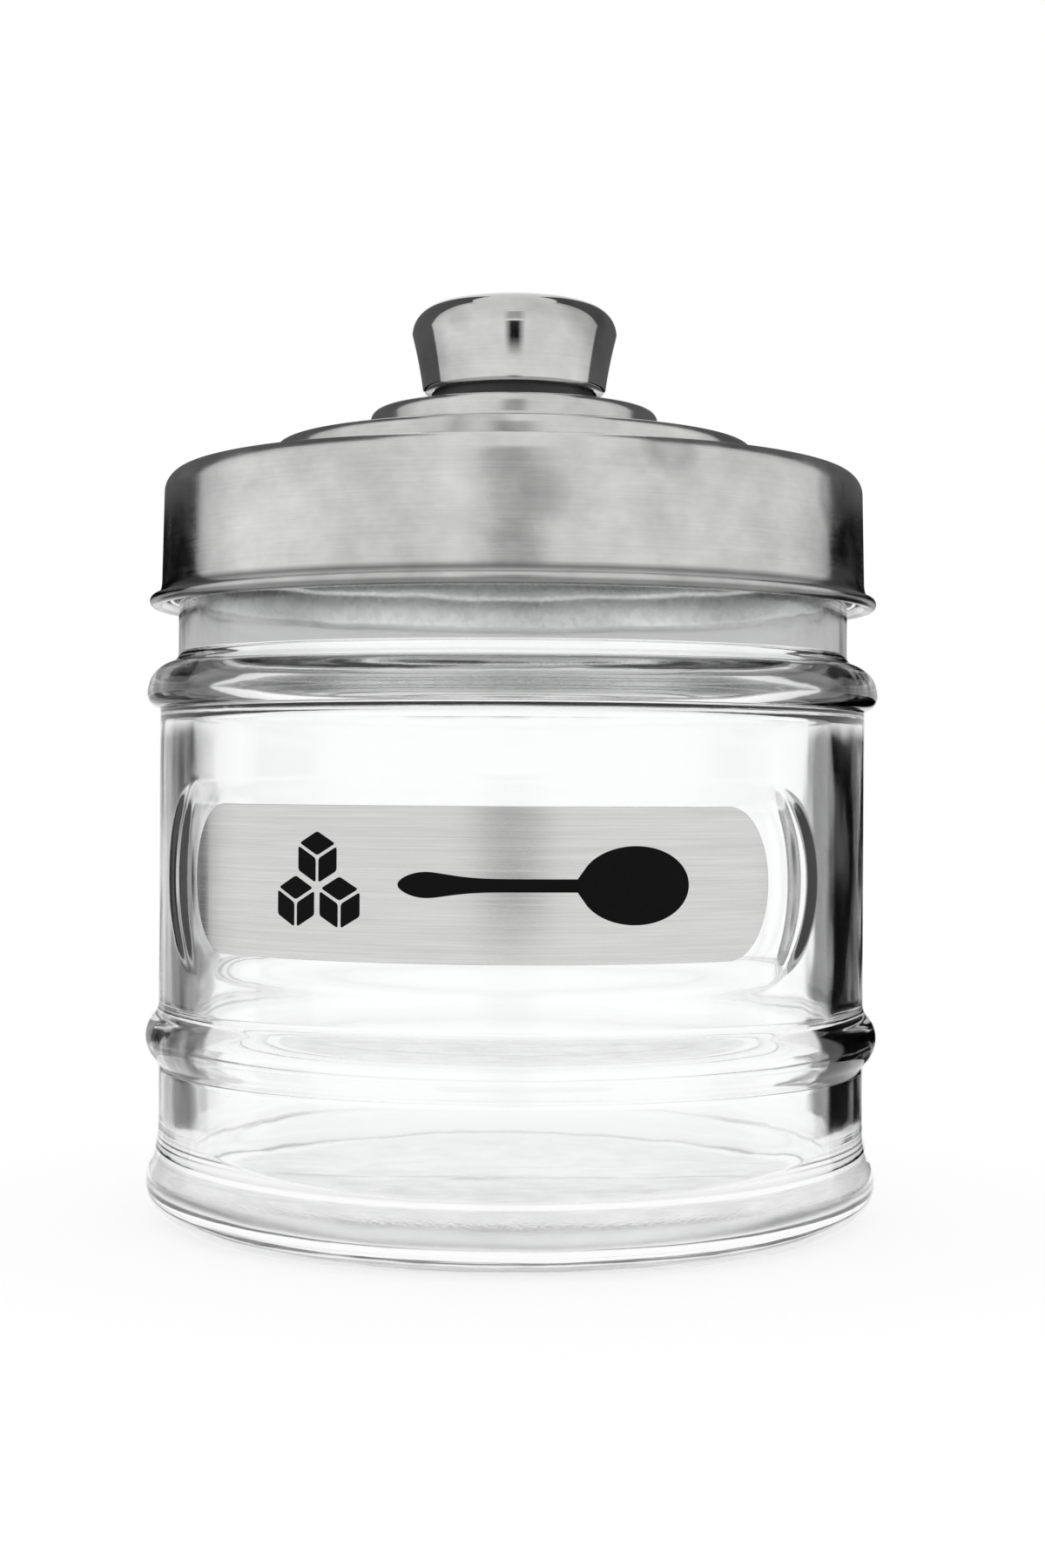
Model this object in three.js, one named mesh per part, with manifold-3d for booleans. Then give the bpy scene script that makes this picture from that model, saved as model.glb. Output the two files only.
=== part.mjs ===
// A clear glass sugar jar with a push-on stainless steel lid and a hollow steel knob.
// Millimetres, +Z up. The jar stands on z = 0, its axis is Z, and its label faces -Y.

import * as THREE from 'three';
import { mergeVertices } from 'three/addons/utils/BufferGeometryUtils.js';
import Module from 'manifold-3d';

const wasm = await Module();
wasm.setup();

// How finely round forms are divided
const AROUND_JAR = 44;
const AROUND_KNOB = 28;
const AROUND_SCREW = 16;
const CORNER_STEPS = 3;
const RING_STEPS = 7;
const PANEL_COLUMNS = 28;
const PANEL_END_COLUMNS = 5;

// Clearances
const seatGap = 0.3;
const filmGap = 0.1;
const cutOverrun = 1;

// Jar, body and foot
const bodyRadius = 55;
const wallThickness = 5;
const footFlare = 1.8;
const footRounding = 5.9;
const footLand = 0.4;
const footShoulderRounding = 5.5;
const footShoulderAngle = 32;
const footHeight = 15.5;
const restRingWidth = 5.2;
const pushUpStep = 0.9;
const pushUpHeight = 2.8;
const floorHeight = 5.8;
const floorCrown = 1.2;
const floorRounding = 7;

// Jar, the two moulded rings
const lowerRingReach = 2;
const lowerRingRounding = 4.4;
const lowerRingHeight = 28.2;
const shoulderRingReach = 2;
const shoulderRingRounding = 5;
const shoulderRingUnderside = 2.8;
const shoulderRingHeight = 80.6;
const shoulderRingWall = 3.8;

// The hollow that follows the shoulder ring on the inside
const hollowDrop = 0.4;
const hollowRise = 5.6;
const hollowFall = 3.7;

// Jar, neck
const neckSetback = 2.8;
const neckWall = 3;
const neckFillet = 0.9;
const neckHeight = 32.4;
const rimRounding = 1.4;

// Steel label and its adhesive film
const labelLength = 93.2;
const labelHeight = 21.5;
const labelEnd = 7.5;
const labelSheet = 0.45;
const filmThickness = 0.25;
const filmMargin = 1.9;

// Moulded label panel, a shallow recess with soft long edges and a scoop at both ends
const panelDepth = 0.8;
const panelDrop = 1;
const panelFloorInset = 1.65;
const panelSideMargin = 7.9;
const panelDraft = 5.1;
const panelFloorEnd = 3.4;
const panelScoopEnd = 10.8;

// Lid, pressed from sheet in three steps
const lidSheet = 0.6;
const skirtDraft = 0.3;
const skirtHeight = 17.1;
const skirtCorner = 3.5;
const annulusRise = 1;
const tierLedge = 15;
const tierHeight = 3.7;
const tierCorner = 1.7;
const tierFillet = 0.8;
const domeRise = 1.9;
const collarLedge = 8.1;
const collarHeight = 3.6;
const collarCorner = 1.7;
const collarRise = 0.7;
const knobSeatMargin = 0.8;
const lidHoleClearance = 0.65;

// Rolled bead at the foot of the skirt
const beadRadius = 0.95;
const beadReach = 1.85;
const beadDrop = 3.25;
const curlRounding = 1.5;
const beadStartAngle = 110;

// Seal ring that lines the lid's rim
const sealFlange = 1.2;
const sealInset = 0.8;
const sealSleeve = 0.6;
const sealSleeveLength = 18.2;
const sealLipReach = 0.5;
const sealLipHeight = 1.2;
const sealLipPitch = 6.3;
const sealLipCount = 2;

// Knob, a hollow spun cap
const knobWall = 0.7;
const knobFootRadius = 14.5;
const knobFlare = 1.65;
const knobHeight = 15.35;
const knobFootRounding = 0.9;
const knobLip = 1.5;
const knobShoulder = 4.6;
const knobShoulderDrop = 6.15;
const knobShoulderAngle = 72;
const knobWaist = 0.25;
const knobLift = 2.1;

// Plastic base that closes the knob and takes the screw
const plugNeckClearance = 0.4;
const plugFlangeReach = 0.8;
const plugFlangeHeight = 2.2;
const bossWall = 2.35;
const bossHeight = 8.5;
const bossRoof = 2;

// Screw and washer
const screwRadius = 1.95;
const screwLength = 13;
const screwTip = 1;
const headReach = 1.95;
const headHeight = 2.4;
const headRounding = 1.2;
const washerReach = 4.55;
const washerThickness = 1;

// Jar sizes that follow
const footRingRadius = bodyRadius + footFlare;
const restOuterRadius = footRingRadius - footRounding;
const restInnerRadius = restOuterRadius - restRingWidth;
const bodyInnerRadius = bodyRadius - wallThickness;
const lowerRingRadius = bodyRadius + lowerRingReach;
const shoulderRingRadius = bodyRadius + shoulderRingReach;
const neckRadius = bodyRadius - neckSetback;
const neckInnerRadius = neckRadius - neckWall;
const rimHeight = shoulderRingHeight + neckHeight;

// Label and panel sizes that follow
const panelMiddle = (lowerRingHeight + shoulderRingHeight) / 2 - panelDrop;
const labelStraight = labelLength - 2 * labelEnd;
const panelStraight = labelStraight + 2 * panelSideMargin;
const panelHeight = labelHeight - 2 * panelFloorInset;
const panelFloorRadius = bodyRadius - panelDepth;
const filmInnerRadius = panelFloorRadius + filmGap;
const filmOuterRadius = filmInnerRadius + filmThickness;
const labelInnerRadius = filmOuterRadius + filmGap;
const labelOuterRadius = labelInnerRadius + labelSheet;

// Seal and lid sizes that follow, from the neck outwards and from the rim up
const sealInnerRadius = neckRadius + seatGap + sealLipReach;
const sealOuterRadius = sealInnerRadius + sealSleeve;
const sealUnderside = rimHeight + seatGap;
const sealTop = sealUnderside + sealFlange;
const skirtTopRadius = sealOuterRadius + seatGap + lidSheet;
const skirtFootRadius = skirtTopRadius + skirtDraft;
const lidTopHeight = sealTop + seatGap + lidSheet;
const skirtCornerHeight = lidTopHeight - skirtCorner;
const skirtFootHeight = lidTopHeight - skirtHeight;
const collarRadius = knobFootRadius + collarLedge;
const tierRadius = collarRadius + tierLedge;
const tierFootHeight = lidTopHeight + annulusRise;
const tierTopHeight = tierFootHeight + tierHeight;
const collarFootHeight = tierTopHeight + domeRise;
const collarTopHeight = collarFootHeight + collarHeight;
const knobSeatHeight = collarTopHeight + collarRise;

// Knob, plug and screw sizes that follow
const knobBottom = knobSeatHeight + knobLift;
const knobTop = knobBottom + knobHeight;
const knobWidestRadius = knobFootRadius + knobFlare;
const knobMouthRadius = knobFootRadius - knobLip;
const plugNeckRadius = knobMouthRadius - plugNeckClearance;
const plugFlangeRadius = plugNeckRadius + plugFlangeReach;
const knobSeatRadius = plugNeckRadius + knobSeatMargin;
const plugBoreRadius = screwRadius + seatGap;
const bossRadius = plugBoreRadius + bossWall;
const lidHoleRadius = screwRadius + lidHoleClearance;
const washerTop = knobSeatHeight - lidSheet - seatGap;
const washerBottom = washerTop - washerThickness;

function arc(centreRadius, centreHeight, radius, fromDegrees, toDegrees, steps) {
  const points = [];
  for (let step = 0; step <= steps; step += 1) {
    const degrees = fromDegrees + ((toDegrees - fromDegrees) * step) / steps;
    const angle = THREE.MathUtils.degToRad(degrees);
    points.push(new THREE.Vector2(
      centreRadius + radius * Math.cos(angle),
      centreHeight + radius * Math.sin(angle),
    ));
  }
  return points;
}

function point(radius, height) {
  return new THREE.Vector2(radius, height);
}

function bend(start, control, end, steps) {
  return new THREE.QuadraticBezierCurve(start, control, end).getPoints(steps);
}

// A closed mesh with shared vertices and no flat triangles
function weld(geometry) {
  const bare = geometry.clone();
  bare.deleteAttribute('normal');
  bare.deleteAttribute('uv');
  const merged = mergeVertices(bare, seatGap / 1000);
  const kept = [];
  const corners = merged.index.array;
  for (let i = 0; i < corners.length; i += 3) {
    const [a, b, c] = corners.slice(i, i + 3);
    if (a !== b && b !== c && c !== a) kept.push(a, b, c);
  }
  merged.setIndex(kept);
  return merged;
}

// Spins a profile of (radius, height) points about Z, with its faces outwards
function revolve(profile, around) {
  const geometry = new THREE.LatheGeometry(profile, around);
  geometry.rotateX(Math.PI / 2);
  return faceOutwards(weld(geometry));
}

function signedVolume(geometry) {
  const places = geometry.attributes.position;
  const corners = geometry.index.array;
  const a = new THREE.Vector3();
  const b = new THREE.Vector3();
  const c = new THREE.Vector3();
  let volume = 0;
  for (let i = 0; i < corners.length; i += 3) {
    a.fromBufferAttribute(places, corners[i]);
    b.fromBufferAttribute(places, corners[i + 1]);
    c.fromBufferAttribute(places, corners[i + 2]);
    volume += a.dot(b.cross(c));
  }
  return volume;
}

function faceOutwards(geometry) {
  if (signedVolume(geometry) < 0) {
    geometry.setIndex(Array.from(geometry.index.array).reverse());
  }
  return geometry;
}

function toSolid(geometry) {
  return new wasm.Manifold(new wasm.Mesh({
    numProp: 3,
    vertProperties: new Float32Array(geometry.attributes.position.array),
    triVerts: new Uint32Array(geometry.index.array),
  }));
}

function toGeometry(solid) {
  const mesh = solid.getMesh();
  const geometry = new THREE.BufferGeometry();
  geometry.setAttribute('position', new THREE.BufferAttribute(mesh.vertProperties, 3));
  geometry.setIndex(Array.from(mesh.triVerts));
  return geometry;
}

// Half the outline of a pad with elliptical ends, as columns of [arc length, half height]
function padColumns(straight, end, height) {
  const columns = [];
  const half = height / 2;
  for (let step = PANEL_END_COLUMNS; step >= 1; step -= 1) {
    const turn = (Math.PI / 2) * (step / PANEL_END_COLUMNS);
    columns.push([-straight / 2 - end * Math.sin(turn), half * Math.cos(turn)]);
  }
  for (let step = 0; step <= PANEL_COLUMNS; step += 1) {
    columns.push([straight * (step / PANEL_COLUMNS) - straight / 2, half]);
  }
  for (let step = 1; step <= PANEL_END_COLUMNS; step += 1) {
    const turn = (Math.PI / 2) * (step / PANEL_END_COLUMNS);
    columns.push([straight / 2 + end * Math.sin(turn), half * Math.cos(turn)]);
  }
  return columns;
}

// Places columns on a cylinder about Z, centred on -Y; lengths are measured at bodyRadius
function wrapColumns(columns, radius, middle) {
  return columns.map(([length, half]) => {
    const angle = length / bodyRadius;
    const x = radius * Math.sin(angle);
    const y = -radius * Math.cos(angle);
    return {
      top: new THREE.Vector3(x, y, middle + half),
      bottom: new THREE.Vector3(x, y, middle - half),
    };
  });
}

// A curved pad between two wrapped outlines that have equally many columns
function curvedPad(inner, outer) {
  const corners = [];
  const quad = (a, b, c, d) => corners.push(a, b, c, a, c, d);
  for (let i = 0; i + 1 < inner.length; i += 1) {
    const j = i + 1;
    quad(outer[i].bottom, outer[j].bottom, outer[j].top, outer[i].top);
    quad(inner[j].bottom, inner[i].bottom, inner[i].top, inner[j].top);
    quad(outer[i].top, outer[j].top, inner[j].top, inner[i].top);
    quad(inner[i].bottom, inner[j].bottom, outer[j].bottom, outer[i].bottom);
  }
  const geometry = new THREE.BufferGeometry().setFromPoints(corners);
  return faceOutwards(weld(geometry));
}

// The jar's underside, from the axis out to the flat ring that it stands on
function undersideProfile() {
  const crown = pushUpHeight - pushUpStep;
  const crownShares = [0, 0.6];
  const points = crownShares.map((share) => (
    point(restInnerRadius * share, pushUpHeight - crown * share * share)
  ));
  points.push(point(restInnerRadius - pushUpStep, pushUpStep));
  points.push(point(restInnerRadius, 0));
  return points;
}

function footProfile() {
  const landTop = footRounding + footLand;
  const shoulderCentre = footRingRadius - footShoulderRounding;
  const shoulder = arc(
    shoulderCentre, landTop, footShoulderRounding, 0, footShoulderAngle, CORNER_STEPS,
  );
  const leave = shoulder[shoulder.length - 1];
  const join = point(bodyRadius, footHeight);
  const control = point(bodyRadius, leave.y + (join.y - leave.y) / 2);
  return [
    ...arc(restOuterRadius, footRounding, footRounding, -90, 0, RING_STEPS - 1),
    ...shoulder,
    ...bend(leave, control, join, CORNER_STEPS).slice(1),
  ];
}

// Half the angle of a round ring's section, up to where it meets the wall
function degreesWhereRingMeets(wallRadius, widest, rounding) {
  return THREE.MathUtils.radToDeg(Math.acos((wallRadius - widest + rounding) / rounding));
}

function lowerRingProfile() {
  const meets = degreesWhereRingMeets(bodyRadius, lowerRingRadius, lowerRingRounding);
  const centre = lowerRingRadius - lowerRingRounding;
  return arc(centre, lowerRingHeight, lowerRingRounding, -meets, meets, RING_STEPS);
}

// The shoulder ring and the fillet that runs from it into the neck
function shoulderProfile() {
  const meets = degreesWhereRingMeets(bodyRadius, shoulderRingRadius, shoulderRingUnderside);
  const underCentre = shoulderRingRadius - shoulderRingUnderside;
  const ringCentre = shoulderRingRadius - shoulderRingRounding;
  const across = neckRadius + neckFillet - ringCentre;
  const apart = shoulderRingRounding + neckFillet;
  const filletHeight = shoulderRingHeight + Math.sqrt(apart * apart - across * across);
  const touch = THREE.MathUtils.radToDeg(Math.acos(across / apart));
  return [
    ...arc(underCentre, shoulderRingHeight, shoulderRingUnderside, -meets, 0, CORNER_STEPS),
    ...arc(ringCentre, shoulderRingHeight, shoulderRingRounding, 0, touch, RING_STEPS - 2).slice(1),
    ...arc(neckRadius + neckFillet, filletHeight, neckFillet, touch + 180, 180, 2).slice(1),
  ];
}

function rimProfile() {
  const height = rimHeight - rimRounding;
  return [
    ...arc(neckRadius - rimRounding, height, rimRounding, 0, 90, CORNER_STEPS),
    ...arc(neckInnerRadius + rimRounding, height, rimRounding, 90, 180, CORNER_STEPS),
  ];
}

// Half of the hollow behind the shoulder ring, from the straight wall to its widest line
function hollowHalf(wallRadius, rise) {
  const widest = point(shoulderRingRadius - shoulderRingWall, shoulderRingHeight - hollowDrop);
  const start = point(wallRadius, widest.y + rise);
  const middle = point((start.x + widest.x) / 2, (start.y + widest.y) / 2);
  return [
    ...bend(start, point(start.x, (start.y + middle.y) / 2), middle, 2),
    ...bend(middle, point(widest.x, (middle.y + widest.y) / 2), widest, 2).slice(1),
  ];
}

// The inside, from the mouth down to the floor's middle
function insideProfile() {
  const corner = bodyInnerRadius - floorRounding;
  const crownShares = [0.6, 0];
  return [
    ...hollowHalf(neckInnerRadius, hollowRise),
    ...hollowHalf(bodyInnerRadius, -hollowFall).reverse().slice(1),
    ...arc(corner, floorHeight + floorRounding, floorRounding, 0, -90, CORNER_STEPS + 1),
    ...crownShares.map((share) => (
      point(corner * share, floorHeight + floorCrown * (1 - share * share))
    )),
  ];
}

function jarSolid() {
  const profile = [
    ...undersideProfile(),
    ...footProfile(),
    ...lowerRingProfile(),
    ...shoulderProfile(),
    ...rimProfile(),
    ...insideProfile(),
  ];
  return toSolid(revolve(profile, AROUND_JAR));
}

// The recess is cut to its floor, and its slanted sides run on past the wall's face
function panelCutter() {
  const reachShare = (panelDepth + cutOverrun) / panelDepth;
  const end = panelFloorEnd + (panelScoopEnd - panelFloorEnd) * reachShare;
  const height = panelHeight + 2 * panelDraft * reachShare;
  const floor = padColumns(panelStraight, panelFloorEnd, panelHeight);
  const mouth = padColumns(panelStraight, end, height);
  return toSolid(curvedPad(
    wrapColumns(floor, panelFloorRadius, panelMiddle),
    wrapColumns(mouth, bodyRadius + cutOverrun, panelMiddle),
  ));
}

function glassJar() {
  return toGeometry(jarSolid().subtract(panelCutter()));
}

// A sheet in the shape of the label, made smaller all round by a margin
function labelPad(innerRadius, outerRadius, margin) {
  const columns = padColumns(labelStraight, labelEnd - margin, labelHeight - 2 * margin);
  return curvedPad(
    wrapColumns(columns, innerRadius, panelMiddle),
    wrapColumns(columns, outerRadius, panelMiddle),
  );
}

// The lid's pressed contour from the skirt's foot to the hole, inset into the sheet
function lidContour(inset) {
  const tierFoot = point(tierRadius + tierFillet, tierFootHeight + tierFillet);
  const collarFoot = point(collarRadius + tierFillet, collarFootHeight + tierFillet);
  const tierCentre = point(tierRadius - tierCorner, tierTopHeight - tierCorner);
  const collarCentre = point(collarRadius - collarCorner, collarTopHeight - collarCorner);
  const skirtCentre = point(skirtTopRadius - skirtCorner, skirtCornerHeight);
  return [
    point(skirtFootRadius - inset, skirtFootHeight),
    ...arc(skirtCentre.x, skirtCentre.y, skirtCorner - inset, 0, 90, CORNER_STEPS + 1),
    ...arc(tierFoot.x, tierFoot.y, tierFillet + inset, 270, 180, 2),
    ...arc(tierCentre.x, tierCentre.y, tierCorner - inset, 0, 90, CORNER_STEPS),
    ...arc(collarFoot.x, collarFoot.y, tierFillet + inset, 270, 180, 2),
    ...arc(collarCentre.x, collarCentre.y, collarCorner - inset, 0, 90, CORNER_STEPS),
    point(knobSeatRadius, knobSeatHeight - inset),
    point(lidHoleRadius, knobSeatHeight - inset),
  ];
}

// The flared and rolled edge, from the inner face round to the outer one
function beadProfile() {
  const centre = point(skirtFootRadius + beadReach - beadRadius, skirtFootHeight - beadDrop);
  const inner = skirtFootRadius - lidSheet;
  const curlHeight = centre.y - beadRadius + curlRounding;
  const bead = arc(centre.x, centre.y, beadRadius, -90, beadStartAngle, RING_STEPS - 1);
  const leave = bead[bead.length - 1];
  const join = point(skirtFootRadius, skirtFootHeight);
  return [
    ...arc(inner + curlRounding, curlHeight, curlRounding, -180, -90, CORNER_STEPS),
    ...bead,
    ...bend(leave, point(skirtFootRadius, leave.y + beadRadius), join, 2).slice(1, -1),
  ];
}

function lidShell() {
  const outside = lidContour(0);
  const inside = lidContour(lidSheet).reverse();
  const profile = [...beadProfile(), ...outside, ...inside];
  profile.push(profile[0].clone());
  return revolve(profile, AROUND_JAR);
}

// Soft fins on the inside of the seal's sleeve, listed downwards
function sealLips() {
  const tipRadius = sealInnerRadius - sealLipReach;
  const points = [];
  for (let lip = 1; lip <= sealLipCount; lip += 1) {
    const height = rimHeight - lip * sealLipPitch;
    points.push(point(sealInnerRadius, height + sealLipHeight));
    points.push(point(tipRadius, height));
    points.push(point(sealInnerRadius, height - sealLipHeight / 2));
  }
  return points;
}

function sealRing() {
  const flangeInner = neckInnerRadius - sealInset;
  const corner = skirtCorner - lidSheet - seatGap;
  const foot = sealUnderside - sealSleeveLength;
  const profile = [
    point(flangeInner, sealUnderside),
    point(sealInnerRadius, sealUnderside),
    ...sealLips(),
    point(sealInnerRadius, foot),
    point(sealOuterRadius, foot),
    ...arc(skirtTopRadius - skirtCorner, skirtCornerHeight, corner, 0, 90, CORNER_STEPS + 1),
    point(flangeInner, sealTop),
  ];
  profile.push(profile[0].clone());
  return revolve(profile, AROUND_JAR);
}

// The knob's contour from its turned-in lip to the top of its dome
function knobContour(inset) {
  const footCentre = knobFootRadius - knobFootRounding;
  const shoulderCentre = knobWidestRadius - knobShoulder;
  const shoulderHeight = knobTop - knobShoulderDrop;
  const sideFoot = point(knobFootRadius - inset, knobBottom + knobFootRounding);
  const sideTop = point(knobWidestRadius - inset, shoulderHeight);
  const waist = point(
    (sideFoot.x + sideTop.x) / 2 - knobWaist,
    (sideFoot.y + sideTop.y) / 2,
  );
  const shoulder = arc(
    shoulderCentre, shoulderHeight, knobShoulder - inset, 0, knobShoulderAngle, CORNER_STEPS + 1,
  );
  const edge = shoulder[shoulder.length - 1];
  const crown = knobTop - inset - edge.y;
  const domeShares = [0.66, 0.33, 0];
  return [
    point(knobMouthRadius, knobBottom + inset),
    ...arc(footCentre, sideFoot.y, knobFootRounding - inset, -90, 0, 2),
    ...bend(sideFoot, waist, sideTop, CORNER_STEPS).slice(1),
    ...shoulder.slice(1),
    ...domeShares.map((share) => point(edge.x * share, edge.y + crown * (1 - share * share))),
  ];
}

function knobCap() {
  const profile = [...knobContour(0), ...knobContour(knobWall).reverse()];
  profile.push(profile[0].clone());
  return revolve(profile, AROUND_KNOB);
}

// The plug's neck stands on the lid, and its flange is trapped above the knob's lip
function knobBase() {
  const bottom = knobSeatHeight + seatGap;
  const flange = knobBottom + knobWall + seatGap;
  const flangeTop = flange + plugFlangeHeight;
  const bossTop = flangeTop + bossHeight;
  const profile = [
    point(0, bossTop - bossRoof),
    point(plugBoreRadius, bossTop - bossRoof),
    point(plugBoreRadius, bottom),
    point(plugNeckRadius, bottom),
    point(plugNeckRadius, flange),
    point(plugFlangeRadius, flange),
    point(plugFlangeRadius, flangeTop),
    point(bossRadius, flangeTop),
    point(bossRadius, bossTop),
    point(0, bossTop),
  ];
  return revolve(profile, AROUND_KNOB);
}

function screwWasher() {
  const hole = plugBoreRadius;
  const rim = screwRadius + washerReach;
  const profile = [
    point(hole, washerBottom),
    point(rim, washerBottom),
    point(rim, washerTop),
    point(hole, washerTop),
    point(hole, washerBottom),
  ];
  return revolve(profile, AROUND_KNOB);
}

function knobScrew() {
  const headTop = washerBottom - seatGap;
  const headBottom = headTop - headHeight;
  const tip = headTop + screwLength;
  const headRadius = screwRadius + headReach;
  const corner = headRadius - headRounding;
  const profile = [
    point(0, headBottom),
    ...arc(corner, headBottom + headRounding, headRounding, -90, 0, CORNER_STEPS),
    point(headRadius, headTop),
    point(screwRadius, headTop),
    point(screwRadius, tip - screwTip),
    point(screwRadius - screwTip, tip),
    point(0, tip),
  ];
  return revolve(profile, AROUND_SCREW);
}

const finishes = {
  glass: { color: '#eef4f4', roughness: 0.02, metalness: 0, transparent: true, opacity: 0.35 },
  lidSteel: { color: '#b9bab8', roughness: 0.34, metalness: 1 },
  labelSteel: { color: '#c6c7c6', roughness: 0.4, metalness: 1 },
  film: { color: '#d9dadb', roughness: 0.7, metalness: 0 },
  seal: { color: '#e6e8e6', roughness: 0.45, metalness: 0 },
  plastic: { color: '#2b2b2c', roughness: 0.5, metalness: 0 },
  zinc: { color: '#a3a5a8', roughness: 0.3, metalness: 1 },
};

function piece(name, geometry, finish) {
  geometry.computeVertexNormals();
  const mesh = new THREE.Mesh(geometry, new THREE.MeshStandardMaterial(finishes[finish]));
  mesh.name = name;
  return mesh;
}

const jar = new THREE.Group();
jar.add(piece('glass_jar', glassJar(), 'glass'));
jar.add(piece('label_adhesive', labelPad(filmInnerRadius, filmOuterRadius, filmMargin), 'film'));
jar.add(piece('label_plate', labelPad(labelInnerRadius, labelOuterRadius, 0), 'labelSteel'));

const lid = new THREE.Group();
lid.add(piece('lid_shell', lidShell(), 'lidSteel'));
lid.add(piece('lid_seal_ring', sealRing(), 'seal'));
lid.add(piece('knob_cap', knobCap(), 'lidSteel'));
lid.add(piece('knob_base', knobBase(), 'plastic'));
lid.add(piece('screw_washer', screwWasher(), 'zinc'));
lid.add(piece('knob_screw', knobScrew(), 'zinc'));

const sugarJar = new THREE.Group();
sugarJar.add(jar, lid);

export default sugarJar;
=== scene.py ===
"""Builds the looks of a glass sugar jar with a steel lid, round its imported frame.

Everything is in metres. The jar stands on z = 0, its axis is Z, and its label faces -Y.
"""

import math

import bmesh
import bpy
from mathutils import Matrix, Vector


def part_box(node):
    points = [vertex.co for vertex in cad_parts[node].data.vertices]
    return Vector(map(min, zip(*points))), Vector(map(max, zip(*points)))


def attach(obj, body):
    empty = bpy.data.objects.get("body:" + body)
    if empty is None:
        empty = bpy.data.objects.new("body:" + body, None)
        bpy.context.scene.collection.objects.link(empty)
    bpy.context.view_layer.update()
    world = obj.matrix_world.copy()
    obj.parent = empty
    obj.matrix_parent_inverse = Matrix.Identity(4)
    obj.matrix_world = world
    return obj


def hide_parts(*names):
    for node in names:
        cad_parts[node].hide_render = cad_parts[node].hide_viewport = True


bl_info = {
    "name": "Sugar Jar",
    "version": (1, 0, 0),
    "blender": (4, 5, 0),
    "location": "3D View > Sidebar > Sugar Jar",
    "description": "Makes a glass jar with a steel lid, knob and label plate, and its studio",
    "category": "Add Mesh",
}

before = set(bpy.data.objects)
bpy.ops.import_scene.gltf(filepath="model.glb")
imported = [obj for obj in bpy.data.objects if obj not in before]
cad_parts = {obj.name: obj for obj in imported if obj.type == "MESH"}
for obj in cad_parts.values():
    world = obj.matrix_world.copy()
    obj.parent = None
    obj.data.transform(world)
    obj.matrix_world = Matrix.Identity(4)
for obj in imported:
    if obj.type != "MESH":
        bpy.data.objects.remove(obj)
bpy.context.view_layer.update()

MM = 0.001
FULL_TURN = 360
PHOTO_LONG_SIDE = 1800
SENSOR_WIDTH = 36

# Points nearer than this are one, and a hair is a length that doesn't count
SAME_POINT = MM / 1000
HAIR = MM / 100

# The short steps at a wall's ends, the label's front edge, and the strips that it is bent in
WALL_EDGE = 0.1 * MM
PLATE_EDGE = 0.12 * MM
STRIP_WIDTH = 0.9 * MM

# The crease over the lid's rolled edge, where shade is painted, and the degrees that the knob's
# shoulder turns
CREASE_RISE = 0.6 * MM
SHOULDER_TURN = 72

# The glass is turned from here in sectors of (degrees, steps), finest over the crescents
GLASS_START = -162
GLASS_SECTORS = ((10, 8), (20, 72), (84, 84), (20, 72), (10, 8), (216, 72))

# The three printed sugar cubes, right and up from the label's middle
CUBE_EDGE = 3.9 * MM
CUBE_PLACES = ((-24.4 * MM, -2.7 * MM), (-17.2 * MM, -2.7 * MM), (-20.8 * MM, 3.5 * MM))

# The knob's foot and top, the rim and the plug's top are read off the frame
KNOB_LOW, KNOB_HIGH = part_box("knob_cap")
RIM_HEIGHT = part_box("glass_jar")[1].z
PLUG_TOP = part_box("knob_base")[1].z


def number(name, value, description, **settings):
    return bpy.props.FloatProperty(name=name, description=description, default=value, **settings)


def mm(name, millimetres, description):
    """A size that is stored in metres and written in millimetres."""
    settings = {"min": 0, "precision": 5, "unit": "LENGTH", "subtype": "DISTANCE"}
    return number(name, millimetres * MM, description, **settings)


def share(name, value, description):
    return number(name, value, description, min=0, max=1, subtype="FACTOR")


def degrees(name, value, description):
    return number(name, math.radians(value), description, unit="ROTATION", subtype="ANGLE")


def colour(name, value, description):
    return bpy.props.FloatVectorProperty(
        name=name, description=description, default=value, size=3, min=0, max=1, subtype="COLOR"
    )


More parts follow.
